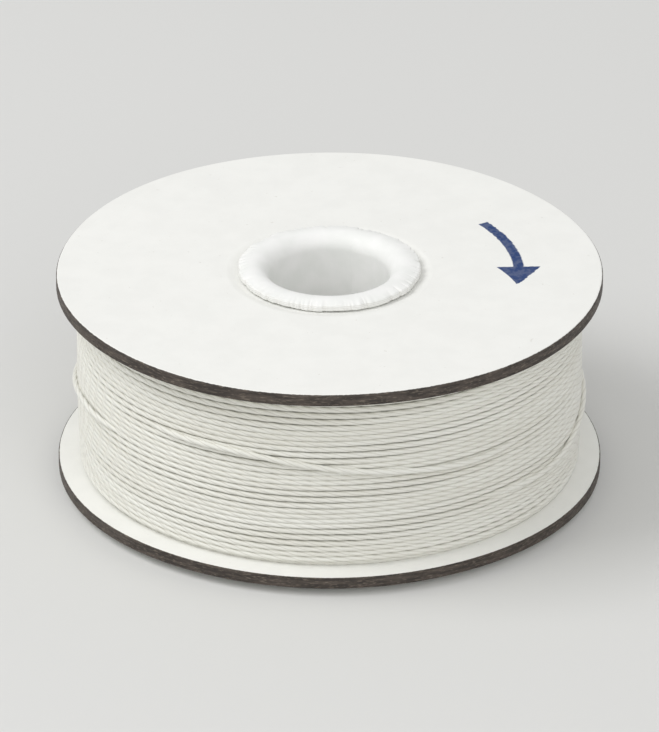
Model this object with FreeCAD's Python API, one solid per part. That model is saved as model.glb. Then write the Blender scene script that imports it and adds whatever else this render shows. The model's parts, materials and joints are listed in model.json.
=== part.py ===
# Paper-sided pre-wound sewing machine bobbin.
# A paper tube is the core. Its two ends are rolled outwards over two board sides, which they hold
# like a rivet, and sewing thread fills the space between the sides, turn beside turn.
# Lengths are in millimetres. The bobbin stands on its lower lip at z = 0, with its bore along +Z.

import FreeCAD, Part
import math
import os

# Board sides
side_diameter = 26.0
side_thickness = 0.6
side_spacing = 9.0         # clear width between the two sides
press_depth = 0.1          # how deep the rolled lip is pressed into the board
press_margin = 0.7         # how far outside the lip the board is still drawn in

# Paper core
bore_diameter = 5.8
core_wall = 0.5
core_slip = 0.05           # radial clearance of the tube in the hole of each side
mouth_round = 0.8          # radius with which the bore opens out into the rolled lip
lip_land = 0.4             # width of the flat crest of the lip
round_tolerance = 0.0125   # how far inside a rounding its flat steps may lie

# Wound thread
ridge_pitch = 0.43         # from one ridge of the wound thread to the next
ridge_depth = 0.08         # depth of the furrow between two ridges
winding_inset = 0.9        # how far the thread stays inside the rim of the sides
winding_crown = 0.12       # the pack is fuller in the middle than beside the sides

# Radii that follow from them
side_radius = side_diameter / 2
bore_radius = bore_diameter / 2
tube_radius = bore_radius + core_wall
hole_radius = tube_radius + core_slip
cut_edge_round = core_wall / 2
lip_radius = bore_radius + mouth_round + lip_land + cut_edge_round
winding_radius = side_radius - winding_inset

# Levels that follow from them, from the floor up
lip_rise = core_wall - press_depth
lower_inner_face = lip_rise + side_thickness
upper_inner_face = lower_inner_face + side_spacing
upper_outer_face = upper_inner_face + side_thickness
bobbin_height = upper_outer_face + lip_rise
upper_seat = bobbin_height - core_wall
middle = bobbin_height / 2


def at(radius, level):
    """A point of a half section, in the plane of X and Z."""
    return FreeCAD.Vector(radius, 0, level)


def rounding(centre, radius, start, end):
    """Points on an arc between two directions in degrees, as far apart as the tolerance allows."""
    widest_step = 2 * math.degrees(math.acos(1 - round_tolerance / radius))
    steps = math.ceil(abs(end - start) / widest_step)
    directions = [math.radians(start + (end - start) * step / steps) for step in range(steps + 1)]
    return [centre + at(math.cos(direction), math.sin(direction)) * radius for direction in directions]


def turned(outline):
    """The solid that a closed half section makes when it is turned once round the bore."""
    section = Part.Face(Part.makePolygon([*outline, outline[0]]))
    return section.revolve(at(0, 0), FreeCAD.Vector(0, 0, 1), 360)


def upper_side():
    """A die-cut board disc, pressed down round its hole where the lip of the core grips it."""
    return turned([
        at(hole_radius, upper_inner_face),
        at(side_radius, upper_inner_face),
        at(side_radius, upper_outer_face),
        at(lip_radius + press_margin, upper_outer_face),
        at(lip_radius, upper_seat),
        at(hole_radius, upper_seat),
    ])


def lower_side():
    """The same disc the other way up, for the lower end of the bobbin."""
    disc = upper_side()
    disc.rotate(at(0, middle), FreeCAD.Vector(1, 0, 0), 180)
    return disc


def paper_core():
    """A paper tube whose two ends are rolled outwards over the sides, down to a sharp fold."""
    mouth = at(bore_radius + mouth_round, bobbin_height - mouth_round)
    cut_edge = at(lip_radius - cut_edge_round, bobbin_height - cut_edge_round)
    upper_lip = [
        *rounding(mouth, mouth_round, 180, 90),
        *rounding(cut_edge, cut_edge_round, 90, -90),
        at(tube_radius, upper_seat),
    ]
    lower_lip = [at(point.x, bobbin_height - point.z) for point in reversed(upper_lip)]
    return turned(upper_lip + lower_lip)


def winding_surface(level):
    """Radius of the thread pack at a level: fullest at mid width, falling off to the two sides."""
    share = (level - middle) / (side_spacing / 2)
    return winding_radius - winding_crown * share ** 2


def thread_winding():
    """The wound thread as one solid, ridged round and round as its outermost turns leave it."""
    ridges = max(1, round(side_spacing / ridge_pitch))
    outline = [at(tube_radius, upper_inner_face), at(tube_radius, lower_inner_face)]
    for half_ridge in range(2 * ridges + 1):
        level = lower_inner_face + side_spacing * half_ridge / (2 * ridges)
        is_crest = half_ridge % 2 == 1
        depth = 0 if is_crest else ridge_depth
        outline.append(at(winding_surface(level) - depth, level))
    return turned(outline)


pieces = {
    "paper_core": paper_core(),
    "upper_side": upper_side(),
    "lower_side": lower_side(),
    "thread_winding": thread_winding(),
}

os.makedirs("parts", exist_ok=True)
for name, solid in pieces.items():
    solid.exportStep(f"parts/{name}.step")
    box = solid.BoundBox
    print(f"{name}: valid {solid.isValid()}, {solid.Volume:.2f} mm3, z {box.ZMin:.3f} to {box.ZMax:.3f}")
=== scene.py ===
import json
import math
import bpy
import numpy as np
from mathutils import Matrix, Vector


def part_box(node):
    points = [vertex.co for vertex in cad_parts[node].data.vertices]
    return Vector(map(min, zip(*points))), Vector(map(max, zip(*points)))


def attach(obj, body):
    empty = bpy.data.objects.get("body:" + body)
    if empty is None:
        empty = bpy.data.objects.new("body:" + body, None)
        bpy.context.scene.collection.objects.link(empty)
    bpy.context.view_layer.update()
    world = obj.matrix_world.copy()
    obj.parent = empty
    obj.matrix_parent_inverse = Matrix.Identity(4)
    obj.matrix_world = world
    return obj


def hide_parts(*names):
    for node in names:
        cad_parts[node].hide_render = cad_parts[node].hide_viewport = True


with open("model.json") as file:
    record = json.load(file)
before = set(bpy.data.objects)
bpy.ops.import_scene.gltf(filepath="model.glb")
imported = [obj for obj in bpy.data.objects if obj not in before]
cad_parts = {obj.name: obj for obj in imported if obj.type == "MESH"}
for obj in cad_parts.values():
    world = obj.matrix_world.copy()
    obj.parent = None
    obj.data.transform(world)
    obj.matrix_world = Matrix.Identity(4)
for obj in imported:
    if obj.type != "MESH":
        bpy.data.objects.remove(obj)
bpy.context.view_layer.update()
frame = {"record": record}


# Paper core
# A tube of white paper, wound in layers and glued. Both ends are rolled outwards over the sides and
# pressed down, which holds the sides like a rivet, and leaves the rolled paper creased and uneven.

MM = 0.001
bore = next(mount for mount in frame["record"]["mounts"] if mount["name"] == "bore")
bore_radius = bore["dims"]["r_mm"] * MM
lip_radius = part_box("paper_core")[1].x
bobbin_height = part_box("paper_core")[1].z
middle = bobbin_height / 2
core_wall = 0.5 * MM
tube_radius = bore_radius + core_wall
mouth_round = 0.8 * MM         # radius with which the bore opens out into a lip
crest_radius = bore_radius + mouth_round
lip_droop = 0.1 * MM           # how far a lip falls off from its crest to its edge
lip_gap = 0.07 * MM            # how far that edge stands off the board
lip_lift = 0.05 * MM           # how much the gap differs round the lip
lip_unevenness = 0.07 * MM     # how far the edge strays from a circle
edge_round = 0.12 * MM         # rounding of the edge on its outer side
edge_burr = 0.05 * MM          # rounding of the edge towards the board
cut_reach = 0.04 * MM          # what lies this close to the lip's radius is the paper's cut edge
pucker_depth = 0.02 * MM       # ripples all round a lip
crease_depth = 0.055 * MM      # creases from rolling, deepest at the edge
crease_width = 0.05 * MM
crease_count = 150             # in each lip
seam_step = 0.04 * MM          # the edge of the innermost paper, seen along the bore
seam_angle = math.radians(68)
core_columns = 960             # of the mesh, round the axis
paper_layer = 0.085 * MM       # thickness of one layer, seen on the cut edge
layer_sway = 4.0               # how far the lines between the layers waver, in radians
layer_tint = 0.3               # share of brown in those lines
painted_crease_shade = 0.12             # share of painted shade grey where a crease is deepest
paper_relief = 0.008 * MM      # height of the paper's fibres


def profile(radii, levels):
    """Points of a section at these radii and levels, either of which may be one value for all points."""
    return np.stack(np.broadcast_arrays(radii, levels), axis=1)


def arc(centre, radius, start, end, count):
    """Points of a section on an arc: the centre plus the radius, in directions from start to end degrees."""
    direction = np.radians(np.linspace(start, end, count))
    return np.array(centre) + radius * np.stack([np.cos(direction), np.sin(direction)], axis=1)


def core_section():
    """Closed half section of the core, as radius and level.

    It runs out under the upper lip, which rises off the board by a square, up the rounded cut edge, back
    over the crest, which falls by a square too, down the mouth and the bore, and back round the lower lip,
    which is the upper one mirrored about mid height."""
    share = np.linspace(0, 1, num=8)
    seat = bobbin_height - core_wall
    edge_foot, edge_top = seat + lip_gap, bobbin_height - lip_droop
    under_radii = tube_radius + (lip_radius - edge_burr - tube_radius) * share
    crest_radii = crest_radius + (lip_radius - edge_round - crest_radius) * share
    upper_lip = np.concatenate([
        profile(under_radii, seat + lip_gap * share ** 2),
        arc((lip_radius - edge_burr, edge_foot + edge_burr), edge_burr, start=-60, end=0, count=4),
        arc((lip_radius - edge_round, edge_top - edge_round), edge_round, start=0, end=80, count=7),
        profile(crest_radii, bobbin_height - lip_droop * share ** 2)[::-1],
        arc((crest_radius, bobbin_height - mouth_round), mouth_round, start=90, end=180, count=17)[1:],
    ])
    bore_levels = np.linspace(bobbin_height - mouth_round, mouth_round, num=16)[1:-1]
    lower_lip = (upper_lip * (1, -1) + (0, bobbin_height))[::-1]
    return np.concatenate([upper_lip, profile(bore_radius, bore_levels), lower_lip])


def waves(angle, counts, depth, seed):
    """A wander round the axis: cosines with these wave counts to a turn, of random phase and strength.

    Whole counts close after one turn. The strengths are shared out, so the sum never goes past depth."""
    draw = np.random.default_rng(seed)
    phase = draw.uniform(0, 2 * np.pi, len(counts))
    strength = draw.uniform(0.4, 1.0, len(counts))
    cosines = np.cos(np.multiply.outer(angle, np.asarray(counts)) + phase)
    return depth * (cosines * strength).sum(axis=-1) / strength.sum()


def creases(past_crest, angle, seed):
    """Depth of the creases in one lip, at a share of the way from its crest to its edge and at an angle.

    It is a sum of narrow bell curves round the axis, each of a random place, width and strength, and goes
    no deeper where curves meet. Each sets in at a random share of the way and deepens evenly to the edge."""
    draw = np.random.default_rng(seed)
    place = draw.uniform(0, 2 * np.pi, crease_count)
    width = crease_width / lip_radius * draw.uniform(0.8, 1.6, crease_count)
    strength = draw.uniform(0.2, 1.0, crease_count)
    onset = draw.uniform(0.0, 0.7, crease_count)
    aside = (np.subtract.outer(place, angle) + np.pi) % (2 * np.pi) - np.pi
    deepening = strength * np.clip((past_crest - onset) / (1 - onset), 0, 1)
    return crease_depth * np.minimum(deepening @ np.exp(-(aside / width[:, None]) ** 2), 1)


def new_piece(name, points, faces, material):
    """A smooth mesh from points and faces, as a piece that rides on the bobbin's one body."""
    mesh = bpy.data.meshes.new(name)
    mesh.from_pydata(points, [], faces, shade_flat=False)
    mesh.materials.append(material)
    piece = bpy.data.objects.new(name, mesh)
    bpy.context.scene.collection.objects.link(piece)
    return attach(piece, "root")


def ring_piece(name, radius, level, angle, material):
    """A ring closed both ways: row i and column j lie at radius[i, j], level[i, j] and angle[j].

    Rows run anticlockwise round the section, so the faces point outwards."""
    points = np.stack([radius * np.cos(angle), radius * np.sin(angle), level], axis=-1)
    index = np.arange(radius.size).reshape(radius.shape)
    above = np.roll(index, -1, axis=0)
    faces = np.stack([index, np.roll(index, -1, axis=1), np.roll(above, -1, axis=1), above], axis=-1)
    return new_piece(name, points.reshape(-1, 3), faces.reshape(-1, 4), material)


def hold_at_points(piece, name, values):
    """Keeps a number for each point of the piece's mesh, for its material to read by this name."""
    held = piece.data.attributes.new(name, "FLOAT", "POINT")
    held.data.foreach_set("value", values.ravel())


def colour(red, green, blue):
    """A colour of 0 to 255 as seen, turned into linear light."""
    seen = np.array([red, green, blue]) / 255
    linear = np.where(seen <= 0.04045, seen / 12.92, ((seen + 0.055) / 1.055) ** 2.4)
    return (*linear.tolist(), 1.0)


def principled(name):
    """A new material and its main shader."""
    material = bpy.data.materials.new(name)
    material.use_nodes = True
    return material, material.node_tree.nodes["Principled BSDF"]


def feed(material, node, sockets):
    """Gives each named socket of a node a plain value, or a link from another node's output."""
    for key, value in sockets.items():
        if isinstance(value, bpy.types.NodeSocket):
            material.node_tree.links.new(value, node.inputs[key])
        else:
            node.inputs[key].default_value = value


def shader_node(material, kind, sockets, **settings):
    """A new node of a material, with its settings made and its sockets fed."""
    node = material.node_tree.nodes.new("ShaderNode" + kind)
    for key, value in settings.items():
        setattr(node, key, value)
    feed(material, node, sockets)
    return node


def place_on(material):
    """The piece's own coordinates, in metres."""
    return shader_node(material, "TexCoord", {}).outputs["Object"]


def held_by_points(material, name):
    """A number that the piece's mesh keeps for each of its points."""
    return shader_node(material, "Attribute", {}, attribute_name=name).outputs["Fac"]


def worked_out(material, operation, first, second=0.0):
    """One step of arithmetic on two values."""
    return shader_node(material, "Math", {0: first, 1: second}, operation=operation).outputs["Value"]


def grain(material, place, scale, stretch=(1, 1, 1), detail=2.0):
    """Cloudy noise over a place, with scale times stretch cycles to the metre along each axis."""
    stretched = shader_node(material, "Mapping", {"Vector": place, "Scale": stretch}).outputs["Vector"]
    sockets = {"Vector": stretched, "Scale": scale, "Detail": detail}
    return shader_node(material, "TexNoise", sockets).outputs["Fac"]


def between(material, value, low, high, at_low=0.0, at_high=1.0):
    """A value carried from the span low..high to the span at_low..at_high, smoothly and held at its ends."""
    sockets = {"Value": value, "From Min": low, "From Max": high, "To Min": at_low, "To Max": at_high}
    return shader_node(material, "MapRange", sockets, interpolation_type="SMOOTHSTEP").outputs["Result"]


def mixed(material, share, first, second):
    """The first colour, going over into the second one by share."""
    first_socket, second_socket, result_socket = 6, 7, 2    # those of a Mix node that hold colours
    sockets = {"Factor": share, first_socket: first, second_socket: second}
    return shader_node(material, "Mix", sockets, data_type="RGBA").outputs[result_socket]


def relief(material, height, depth, below=None):
    """A bump of the given depth in metres, laid over another bump."""
    sockets = {"Height": height, "Distance": depth, "Strength": 1.0}
    if below is not None:
        sockets["Normal"] = below
    return shader_node(material, "Bump", sockets).outputs["Normal"]


def rolled_paper():
    """White paper with faint clouds and fibres, and painted shade that makes it a little greyer in its
    creases.

    On the cut edge its layers show as brownish lines: a sine over the level, whose phase the clouds sway."""
    white, clouded = colour(248, 248, 246), colour(242, 243, 240)
    painted_crease_grey, layer_brown = colour(196, 190, 178), colour(176, 168, 152)
    material, shader = principled("rolled_white_paper")
    place = place_on(material)
    clouds = grain(material, place, scale=900)
    fibres = grain(material, place, scale=9000, stretch=(1, 1, 0.35), detail=4.0)

    plain = mixed(material, between(material, clouds, low=0.3, high=0.7), white, clouded)
    # Painted shade: the creases' depth greys the paper's colour
    painted_crease_share = worked_out(material, "MULTIPLY", held_by_points(material, "crease"), painted_crease_shade)
    crease_shaded = mixed(material, painted_crease_share, plain, painted_crease_grey)

    level = shader_node(material, "SeparateXYZ", {"Vector": place}).outputs["Z"]
    phase = worked_out(material, "MULTIPLY", level, 2 * math.pi / paper_layer)
    sway = worked_out(material, "MULTIPLY", clouds, layer_sway)
    layer_wave = worked_out(material, "SINE", worked_out(material, "ADD", phase, sway))
    layer_lines = between(material, layer_wave, low=0.2, high=1.0)
    on_cut_edge = worked_out(material, "MULTIPLY", layer_lines, held_by_points(material, "cut_paper"))
    layer_share = worked_out(material, "MULTIPLY", on_cut_edge, layer_tint)

    feed(material, shader, {
        "Base Color": mixed(material, layer_share, crease_shaded, layer_brown),
        "Roughness": between(material, fibres, low=0.3, high=0.7, at_low=0.5, at_high=0.65),
        "Normal": relief(material, fibres, paper_relief),
    })
    return material


core_angle = np.linspace(0, 2 * np.pi, core_columns, endpoint=False)
core_outline = core_section()
core_radius, core_level = core_outline[:, :1], core_outline[:, 1:]
upper_half = core_level > middle
outwards = np.sign(core_level - middle)

# Shares of the way from the bore to the lip's edge, from the crest to that edge, and up through the paper
reach = np.clip((core_radius - bore_radius) / (lip_radius - bore_radius), 0, 1)
past_crest = np.clip((core_radius - crest_radius) / (lip_radius - crest_radius), 0, 1)
from_seat = np.clip((np.abs(core_level - middle) - (middle - core_wall)) / core_wall, 0, 1)

stray = np.where(
    upper_half,
    waves(core_angle, [2, 3, 5, 7, 11, 16], lip_unevenness, seed=3),
    waves(core_angle, [2, 3, 5, 8, 12, 17], lip_unevenness, seed=4),
)
lift = np.where(
    upper_half,
    waves(core_angle, [1, 2, 4, 6, 9], lip_lift, seed=5),
    waves(core_angle, [1, 2, 4, 7, 9], lip_lift, seed=6),
)
puckers = waves(core_angle, [37, 46, 55, 63, 78, 91], pucker_depth, seed=7)
folded = np.where(
    upper_half,
    creases(past_crest, core_angle, seed=8),
    creases(past_crest, core_angle, seed=9),
)
past_seam = ((core_angle - seam_angle) % (2 * np.pi)) / (2 * np.pi)
core = ring_piece(
    "paper_core_rolled",
    core_radius + reach ** 2 * (stray + puckers) - folded - seam_step * past_seam * (1 - reach),
    core_level + outwards * (past_crest ** 2 * (lift + puckers) - from_seat * folded),
    core_angle,
    rolled_paper(),
)
cut_edge = np.broadcast_to(core_radius > lip_radius - cut_reach, folded.shape)
hold_at_points(core, "cut_paper", cut_edge.astype(float))
# The crease depth kept here also drives painted shade in the paper's colour
hold_at_points(core, "crease", np.clip(folded / crease_depth, 0, 1))
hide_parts("paper_core")


# Board sides
# Two discs, die-cut from dark chipboard with a white coating on both faces. The cutting die rolls the
# outer edge over a little, and the lip of the core presses each disc in round its hole. The upper one
# has a small blue arrow printed on it, which shows how the thread is wound.

side_low, side_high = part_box("upper_side")
side_radius = side_high.x
side_thickness = side_high.z - side_low.z
core_slip = 0.05 * MM          # clearance of the core in the hole
hole_radius = tube_radius + core_slip
press_depth = 0.12 * MM        # how deep the lip presses the board in
press_margin = 0.6 * MM        # how far outside the lip the board is still drawn in
die_roll = 0.1 * MM            # rounding of the cut edge on the outer face
cut_burr = 0.04 * MM           # rounding of the cut edge on the inner face
side_warp = 0.05 * MM          # how far the rim strays from a plane
edge_fray = 0.012 * MM         # unevenness that the die leaves on the cut edge
fray_waves = range(40, 320, 17)    # wave counts to a turn that it is made of
fray_slant = 40                # how far the fray shifts round the edge, for each step up the edge
support = 0.02 * MM            # a row this close to a bend keeps the flat beside it flat
side_columns = 720             # of the mesh, round the axis
coat_frays = 0.05 * MM         # how far inside the rim the coating starts to break off
coat_ends = 0.03 * MM          # how far inside the rim none of it is left
coat_raggedness = 0.04 * MM
cloud_relief = 0.005 * MM
fibre_relief = 0.004 * MM
pulp_relief = 0.03 * MM        # height of the fibres on the cut edge
arrow_radius = 9.0 * MM
arrow_start = math.radians(35)
arrow_shaft = 5.1 * MM
arrow_length = 7.0 * MM
arrow_line = 0.5 * MM
arrow_slope = 0.55             # half width of the arrow's head for its length
ink_bleed = 0.035 * MM
ink_raggedness = 0.12 * MM


def eased(share):
    """An S-shaped rise from 0 to 1: three squares of the share less two of its cubes."""
    return share ** 2 * (3 - 2 * share)


def side_section():
    """Closed half section of a side, as radius and height over its inner face.

    It runs out along the inner face, up the cut edge, back along the outer face, down an S-shaped slope to
    the lip's seat, and down the hole."""
    burr_from, roll_from = side_radius - cut_burr, side_radius - die_roll
    flat_from = lip_radius + press_margin
    slope = np.linspace(1, 0, num=16)
    inner_radii = np.append(np.linspace(hole_radius, burr_from - support, num=12), burr_from)
    edge_heights = np.linspace(cut_burr + support, side_thickness - die_roll - support, num=7)
    outer_radii = np.linspace(roll_from - support, flat_from + support, num=18)
    return np.concatenate([
        profile(inner_radii, 0),
        arc((burr_from, cut_burr), cut_burr, start=-60, end=0, count=3),
        profile(side_radius, edge_heights),
        arc((roll_from, side_thickness - die_roll), die_roll, start=0, end=90, count=8),
        profile(outer_radii, side_thickness),
        profile(lip_radius + press_margin * slope, side_thickness - press_depth * (1 - eased(slope))),
        profile(hole_radius, [side_thickness - press_depth, side_thickness / 2]),
    ])


def strayed(material, noise, depth):
    """A length on both sides of zero: what the noise is above one half, times depth."""
    return worked_out(material, "MULTIPLY", worked_out(material, "SUBTRACT", noise, 0.5), depth)


def winding_arrow(material, parts, distance, wobble):
    """Share of ink at a place: an arrow bent round the axis, on the top face of the upper side only.

    along is the angle from the arrow's start times its radius, and across the distance from that radius.
    The shaft is where across stays within half the line, and reaches a little into the head. The head is
    where it stays under the way left to the tip times a slope."""
    angle = worked_out(material, "ARCTAN2", parts["Y"], parts["X"])
    turned_by = worked_out(material, "SUBTRACT", arrow_start, angle)
    along = worked_out(material, "ADD", worked_out(material, "MULTIPLY", turned_by, arrow_radius), wobble)
    aside = worked_out(material, "ADD", worked_out(material, "SUBTRACT", distance, arrow_radius), wobble)
    across = worked_out(material, "ABSOLUTE", aside)

    half_line = arrow_line / 2
    shaft_width = between(material, across, half_line - ink_bleed, half_line + ink_bleed, 1, 0)
    begun = between(material, along, -ink_bleed, ink_bleed)
    ended = between(material, along, arrow_shaft + 2 * ink_bleed, arrow_shaft + 4 * ink_bleed)
    shaft = worked_out(material, "MULTIPLY", shaft_width, worked_out(material, "SUBTRACT", begun, ended))

    way_left = worked_out(material, "SUBTRACT", arrow_length, along)
    half_head = worked_out(material, "MULTIPLY", way_left, arrow_slope)
    outside = worked_out(material, "SUBTRACT", across, half_head)
    head_width = between(material, outside, -ink_bleed, ink_bleed, 1, 0)
    headed = between(material, along, arrow_shaft - ink_bleed, arrow_shaft + ink_bleed)
    head = worked_out(material, "MULTIPLY", headed, head_width)

    on_top = worked_out(material, "GREATER_THAN", parts["Z"], side_high.z - side_thickness / 4)
    return worked_out(material, "MULTIPLY", on_top, worked_out(material, "MAXIMUM", shaft, head))


def coated_chipboard():
    """White coating with faint clouds, fibres and specks, and the arrow in slightly mottled ink.

    Where the coating ends at the rim, the dark pulp shows, streaked along its plies, with pale fibres."""
    white, clouded, speck_brown = colour(246, 246, 242), colour(243, 243, 239), colour(190, 184, 172)
    pulp, dark_pulp, pale_fibre = colour(80, 71, 64), colour(52, 45, 40), colour(150, 138, 122)
    blue_ink = colour(14, 54, 112)
    material, shader = principled("coated_chipboard")
    place = place_on(material)
    parts = shader_node(material, "SeparateXYZ", {"Vector": place}).outputs
    flat_place = shader_node(material, "CombineXYZ", {"X": parts["X"], "Y": parts["Y"]}).outputs["Vector"]
    distance = shader_node(material, "VectorMath", {0: flat_place}, operation="LENGTH").outputs["Value"]
    clouds = grain(material, place, scale=800, detail=4.0)
    fibres = grain(material, place, scale=7000, stretch=(1, 0.5, 1), detail=4.0)
    specks = grain(material, place, scale=4200, detail=1.0)
    ply_streaks = grain(material, place, scale=900, stretch=(1, 1, 9), detail=3.0)
    pulp_fibres = grain(material, place, scale=3600, stretch=(1, 1, 4), detail=3.0)

    coating = mixed(material, between(material, clouds, low=0.3, high=0.7), white, clouded)
    speck_share = between(material, specks, low=0.75, high=0.83, at_low=0, at_high=0.3)
    speckled = mixed(material, speck_share, coating, speck_brown)
    arrow = winding_arrow(material, parts, distance, strayed(material, specks, ink_raggedness))
    ink_cover = between(material, specks, low=0.35, high=0.65, at_low=1.0, at_high=0.93)
    printed = mixed(material, worked_out(material, "MULTIPLY", arrow, ink_cover), speckled, blue_ink)

    streaked = mixed(material, between(material, ply_streaks, low=0.35, high=0.65), pulp, dark_pulp)
    fibre_share = between(material, pulp_fibres, low=0.52, high=0.72, at_low=0, at_high=0.4)
    cut_pulp = mixed(material, fibre_share, streaked, pale_fibre)
    coat_edge = worked_out(material, "ADD", distance, strayed(material, fibres, coat_raggedness))
    bare = between(material, coat_edge, side_radius - coat_frays, side_radius - coat_ends)

    pulp_height = worked_out(material, "MULTIPLY", pulp_fibres, bare)
    pulp_bump = relief(material, pulp_height, pulp_relief)
    cloud_bump = relief(material, clouds, cloud_relief, below=pulp_bump)
    feed(material, shader, {
        "Base Color": mixed(material, bare, printed, cut_pulp),
        "Roughness": between(material, fibres, low=0.3, high=0.7, at_low=0.5, at_high=0.68),
        "Normal": relief(material, fibres, fibre_relief, below=cloud_bump),
    })
    return material


side_board = coated_chipboard()
side_angle = np.linspace(0, 2 * np.pi, side_columns, endpoint=False)
side_outline = side_section()
for name, seed in (("lower_side", 21), ("upper_side", 22)):
    faces_up = name == "upper_side"
    rows = side_outline if faces_up else side_outline[::-1] * (1, -1)
    inner_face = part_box(name)[0].z if faces_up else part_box(name)[1].z
    row_radius, row_height = rows[:, :1], rows[:, 1:]
    at_edge = np.clip((row_radius - side_radius) / die_roll + 1, 0, 1)
    fray = waves(side_angle + fray_slant * row_height / side_radius, fray_waves, edge_fray, seed)
    warp = waves(side_angle, [2, 3, 5], side_warp, seed) * (row_radius / side_radius) ** 2
    side = ring_piece(
        name + "_board",
        row_radius + at_edge * fray,
        inner_face + row_height + warp,
        side_angle,
        side_board,
    )
    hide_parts(name)


# Wound thread
# Three-ply white sewing thread, laid turn beside turn and layer on layer between the sides. The
# outermost layer is one long helix, whose turns crowd and part a little, with a few strands across it.

winding_low, winding_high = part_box("thread_winding")
winding_width = winding_high.z - winding_low.z
winding_radius = winding_high.x
winding_crown = 0.12 * MM      # the pack is this much fuller in the middle than beside the sides
turn_count = 31
climbing_turns = turn_count - 1
turn_pitch = winding_width / turn_count
first_level = winding_low.z + turn_pitch / 2
last_level = winding_high.z - turn_pitch / 2
layer_nesting = 0.866          # rise of a layer for its pitch, as its turns lie in the furrows below
layer_step = layer_nesting * turn_pitch
thread_radius = 0.143 * MM
ply_count = 3
ply_groove = 0.14              # depth between two plies, as a share of the thread's radius
twist_length = 2.5 * MM        # along the thread, for one full twist of its plies
furrow_depth = 0.065 * MM      # between two turns of the layers below
side_wander = 0.06 * MM        # neighbouring turns stray together by this much
wander_shift = 3               # radians by which that straying may shift from mid width to either end
turn_wander = 0.026 * MM       # each turn strays by itself by this much
crowding = 0.04 * MM           # turns stray towards each other in bands, by this much
band_width = 2.1 * MM
band_shift = 2.5               # radians by which the bands may shift round the bobbin
strand_rise = 0.2 * MM         # how far a strand across the turns stands proud of them
strand_ramp = 0.25             # share of its length in which it rises, and again in which it sinks
lines_around = 12              # of the mesh, along a thread
stations_per_turn = 250        # of the mesh, along a turn of thread
pack_columns = 360             # of the lower layers' mesh, round the axis
pack_rows_per_turn = 4
filament_relief = 0.006 * MM
ply_relief = 0.014 * MM


def pack_radius(level):
    """Radius of the thread pack's outside: fullest at mid width, falling off by a square to the sides."""
    share = (level - middle) / (winding_width / 2)
    return winding_radius - winding_crown * share ** 2


def hold_strand(piece, out_from_axis, line, length):
    """Keeps for each point its place in the thread as if that were straight and untwisted.

    Two of its coordinates lie across the thread, at a distance from its axis in the line's direction, and
    the third is the length along it."""
    straight = np.broadcast_arrays(out_from_axis * np.cos(line), out_from_axis * np.sin(line), length)
    strand = piece.data.attributes.new("strand", "FLOAT_VECTOR", "POINT")
    strand.data.foreach_set("vector", np.stack(straight, axis=-1).ravel())


def twisted_thread(name, angle, level, axis_radius, material):
    """A thread of twisted plies along a path given by angle, level and radius at each station.

    Lines run along the plies, so their direction in the section turns with the length. A line's distance
    from the thread's axis is the thread's radius less a groove of 1 - |cos(half the ply count times its
    angle)|."""
    line = np.arange(lines_around) * 2 * np.pi / lines_around
    out_from_axis = thread_radius * (1 - ply_groove * (1 - np.abs(np.cos(ply_count / 2 * line))))
    length = np.append(0, np.cumsum(np.abs(np.diff(angle)) * axis_radius[1:]))
    direction = line - (2 * np.pi * length / twist_length)[:, None]
    radius = axis_radius[:, None] + out_from_axis * np.cos(direction)
    height = level[:, None] + out_from_axis * np.sin(direction)
    points = np.stack([radius * np.cos(angle)[:, None], radius * np.sin(angle)[:, None], height], axis=-1)
    index = np.arange(radius.size).reshape(radius.shape)
    here, ahead = index[:-1], index[1:]
    sides = np.stack([here, ahead, np.roll(ahead, -1, axis=1), np.roll(here, -1, axis=1)], axis=-1)
    ends = [index[0].tolist(), index[-1, ::-1].tolist()]
    piece = new_piece(name, points.reshape(-1, 3), sides.reshape(-1, 4).tolist() + ends, material)
    hold_strand(piece, out_from_axis, line, length[:, None])
    return piece


def sewing_thread():
    """White thread whose tone changes slowly along it, with fine filaments, and painted shade darkening the
    grooves between plies.

    It reads each point's place as in a straight, untwisted thread. The height of a ply there is |cos(half
    the ply count times the angle round the thread)|."""
    white, yellowed = colour(243, 243, 236), colour(234, 233, 224)
    filament_grey, painted_groove_shade = colour(190, 184, 170), colour(168, 160, 144)
    material, shader = principled("white_sewing_thread")
    place = shader_node(material, "Attribute", {}, attribute_name="strand").outputs["Vector"]
    parts = shader_node(material, "SeparateXYZ", {"Vector": place}).outputs
    tone = grain(material, place, scale=90, stretch=(0, 0, 1))
    filaments = grain(material, place, scale=16000, stretch=(1, 1, 0.05))
    angle = worked_out(material, "ARCTAN2", parts["Y"], parts["X"])
    ply_angle = worked_out(material, "MULTIPLY", angle, ply_count / 2)
    ply_round = worked_out(material, "ABSOLUTE", worked_out(material, "COSINE", ply_angle))

    toned = mixed(material, between(material, tone, low=0.3, high=0.7), white, yellowed)
    filament_share = between(material, filaments, low=0.3, high=0.7, at_low=0, at_high=0.15)
    streaked = mixed(material, filament_share, toned, filament_grey)
    # Painted shade: the grooves between the plies are darkened in the colour
    painted_groove_share = between(material, ply_round, low=0.0, high=0.45, at_low=0.3, at_high=0)
    ply_bump = relief(material, ply_round, ply_relief)
    feed(material, shader, {
        "Base Color": mixed(material, painted_groove_share, streaked, painted_groove_shade),
        "Roughness": 0.45,
        "Sheen Weight": 0.15,
        "Normal": relief(material, filaments, filament_relief, below=ply_bump),
    })
    return material


thread = sewing_thread()

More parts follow.
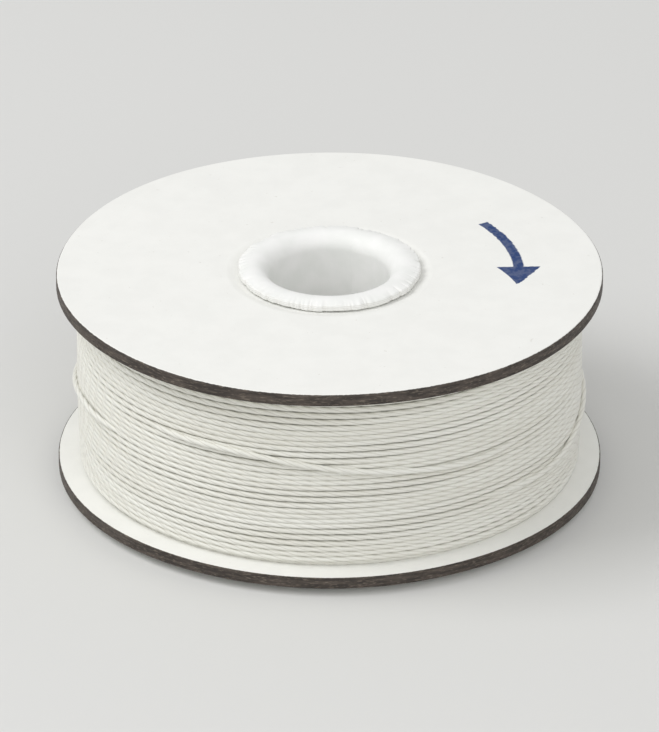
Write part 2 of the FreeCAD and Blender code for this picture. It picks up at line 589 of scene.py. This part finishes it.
# The layers below, as one body with a ridge for each turn in the furrows of the layer above
pack_angle = np.linspace(0, 2 * np.pi, pack_columns, endpoint=False)
pack_levels = np.linspace(winding_low.z, winding_high.z, pack_rows_per_turn * turn_count + 1)
furrows = furrow_depth * np.sin(np.pi * (pack_levels - winding_low.z) / turn_pitch) ** 2
pack_outline = np.concatenate([
    profile(tube_radius, [winding_low.z]),
    profile(pack_radius(pack_levels) - layer_step - furrows, pack_levels),
    profile(tube_radius, [winding_high.z]),
])
pack = ring_piece(
    "thread_lower_layers",
    np.repeat(pack_outline[:, :1], pack_columns, axis=1),
    np.repeat(pack_outline[:, 1:], pack_columns, axis=1),
    pack_angle,
    thread,
)

# Each ridge is one turn of thread, so its points keep their place in that turn
turns_up = (pack_outline[:, 1:] - winding_low.z) / turn_pitch
ridge = np.round(turns_up)
ridge_direction = np.arcsin(np.clip((turns_up - ridge) * turn_pitch / thread_radius, -1, 1))
pack_length = (pack_angle + 2 * np.pi * ridge) * winding_radius
hold_strand(pack, thread_radius, ridge_direction + 2 * np.pi * pack_length / twist_length, pack_length)
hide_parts("thread_winding")

# The outermost layer: a turn that climbs out beside the lower side, the helix, and a turn that dives again
draw = np.random.default_rng(31)
wave_counts = np.array([1, 2, 3, 5, 7, 9])
wave_shifts = draw.uniform(-wander_shift, wander_shift, len(wave_counts))
wave_phases = draw.uniform(0, 2 * np.pi, len(wave_counts))


def laid_level(angle, turn):
    """Level of the outermost layer at an angle, so many turns from its start.

    It climbs by one pitch a turn. Cosines with whole wave counts, whose phase shifts with the level, sway
    neighbouring turns together, and a sine over the level crowds them in bands. Both fade at the sides."""
    even = first_level + turn_pitch * np.clip(turn, 0, climbing_turns)
    phases = np.multiply.outer((even - middle) / middle, wave_shifts) + wave_phases
    together = np.cos(np.multiply.outer(angle, wave_counts) + phases).mean(axis=-1)
    band = 2 * np.pi * (even - winding_low.z) / band_width
    crowded = np.sin(band + waves(angle, [1, 2, 3], band_shift, seed=33))
    room = np.clip(np.minimum(even - first_level, last_level - even) / turn_pitch, 0, 1)
    return even + room * (side_wander * together + crowding * crowded)


# The first and the last turn lie under the turn beside them, as deep as round threads that touch have to
turn = np.arange(-stations_per_turn, stations_per_turn * (climbing_turns + 1) + 1) / stations_per_turn
beside_next = np.minimum(np.clip(1 + turn, 0, 1), np.clip(1 + climbing_turns - turn, 0, 1))
buried = np.sqrt(np.clip((2 * thread_radius) ** 2 - (turn_pitch * beside_next) ** 2, 0, None))
helix_angle = 2 * np.pi * turn
helix_level = laid_level(helix_angle, turn)
alone = waves(helix_angle, draw.uniform(2, 14, size=12), turn_wander, seed=32)
outer_layer = twisted_thread(
    "thread_outer_layer",
    helix_angle,
    helix_level + beside_next * alone,
    pack_radius(helix_level) - thread_radius - buried + alone - turn_wander,
    thread,
)

# Strands that stray over the outermost turns: each rises out of one furrow and sinks into another
for number, (begin, sweep, from_turn, turns_crossed) in enumerate((
    (212, 120, 19, -4),
    (300, 105, 7, 4),
    (30, 115, 23, -5),
    (118, 110, 10, 4),
), start=1):
    share = np.linspace(0, 1, math.ceil(stations_per_turn * sweep / 360) + 1)
    strand_angle = np.radians(begin + sweep * share)
    crossed = eased(np.clip((share - strand_ramp) / (1 - 2 * strand_ramp), 0, 1))
    risen = eased(np.clip(np.minimum(share, 1 - share) / strand_ramp, 0, 1))
    furrow = from_turn + 0.5 + (strand_angle - strand_angle[0]) / (2 * np.pi)
    strand_level = laid_level(strand_angle, furrow + turns_crossed * crossed)
    lifted = (layer_step + strand_rise) * risen - layer_step
    strand_piece = twisted_thread(
        f"thread_strand_across_{number}",
        strand_angle,
        strand_level,
        pack_radius(strand_level) - thread_radius + lifted,
        thread,
    )


# Studio
# A plain pale table top under a large soft light from above and from the left, with a weaker one from the
# front, and a pale room all round.

floor_half = 1.5               # half the table top's side, in metres
table_grey = colour(222, 222, 220)
room_strength = 0.58
aim = np.array([0, 0, middle])
camera_distance = 0.43
camera_elevation = 27
view_width = 31.5 * MM         # what the picture's width takes in at the bobbin
picture_width, picture_height = 659, 732
nearest_view = 0.01            # what lies nearer to the camera isn't drawn

floor_paint, floor_shader = principled("pale_table_top")
feed(floor_paint, floor_shader, {"Base Color": table_grey, "Roughness": 0.9})
floor_mesh = bpy.data.meshes.new("table_top")
corners = floor_half * np.array([[-1, -1, 0], [1, -1, 0], [1, 1, 0], [-1, 1, 0]])
floor_mesh.from_pydata(corners, [], [[0, 1, 2, 3]])
floor_mesh.materials.append(floor_paint)
floor = bpy.data.objects.new("table_top", floor_mesh)
bpy.context.scene.collection.objects.link(floor)

room_light = bpy.data.worlds.new("pale_room")
room_light.use_nodes = True
room_background = room_light.node_tree.nodes["Background"]
feed(room_light, room_background, {"Color": (1.0, 1.0, 1.0, 1.0), "Strength": room_strength})
bpy.context.scene.world = room_light


def looking_at(piece, place, target):
    """Puts a lamp or camera at a place, with its -Z axis towards the target and its Y axis upwards."""
    back = (place - target) / np.linalg.norm(place - target)
    right = np.cross((0, 0, 1), back)
    right = right / np.linalg.norm(right)
    matrix = np.eye(4)
    matrix[:3, :3] = np.stack([right, np.cross(back, right), back], axis=1)
    matrix[:3, 3] = place
    piece.matrix_world = matrix.T
    bpy.context.scene.collection.objects.link(piece)


def place_round(azimuth, elevation, distance):
    """A place round the bobbin: azimuth 0 is in front of it, towards -Y, and 90 is to its right."""
    turn_by, rise = math.radians(azimuth), math.radians(elevation)
    flat = math.cos(rise)
    return aim + distance * np.array([math.sin(turn_by) * flat, -math.cos(turn_by) * flat, math.sin(rise)])


for lamp_name, azimuth, elevation, distance, size, power in (
    ("soft_box", -80, 50, 0.4, 0.24, 0.66),
    ("front_fill", 15, 38, 0.5, 0.35, 0.56),
):
    lamp = bpy.data.lights.new(lamp_name, "AREA")
    lamp.shape = "SQUARE"
    lamp.size = size
    lamp.energy = power
    looking_at(bpy.data.objects.new(lamp_name, lamp), place_round(azimuth, elevation, distance), aim)

camera = bpy.data.cameras.new("camera")
camera.lens = camera.sensor_width * camera_distance / (view_width * picture_height / picture_width)
camera.clip_start = nearest_view
camera_object = bpy.data.objects.new("camera", camera)
looking_at(camera_object, place_round(0, camera_elevation, camera_distance), aim)
bpy.context.scene.camera = camera_object
bpy.context.scene.view_settings.view_transform = "Standard"
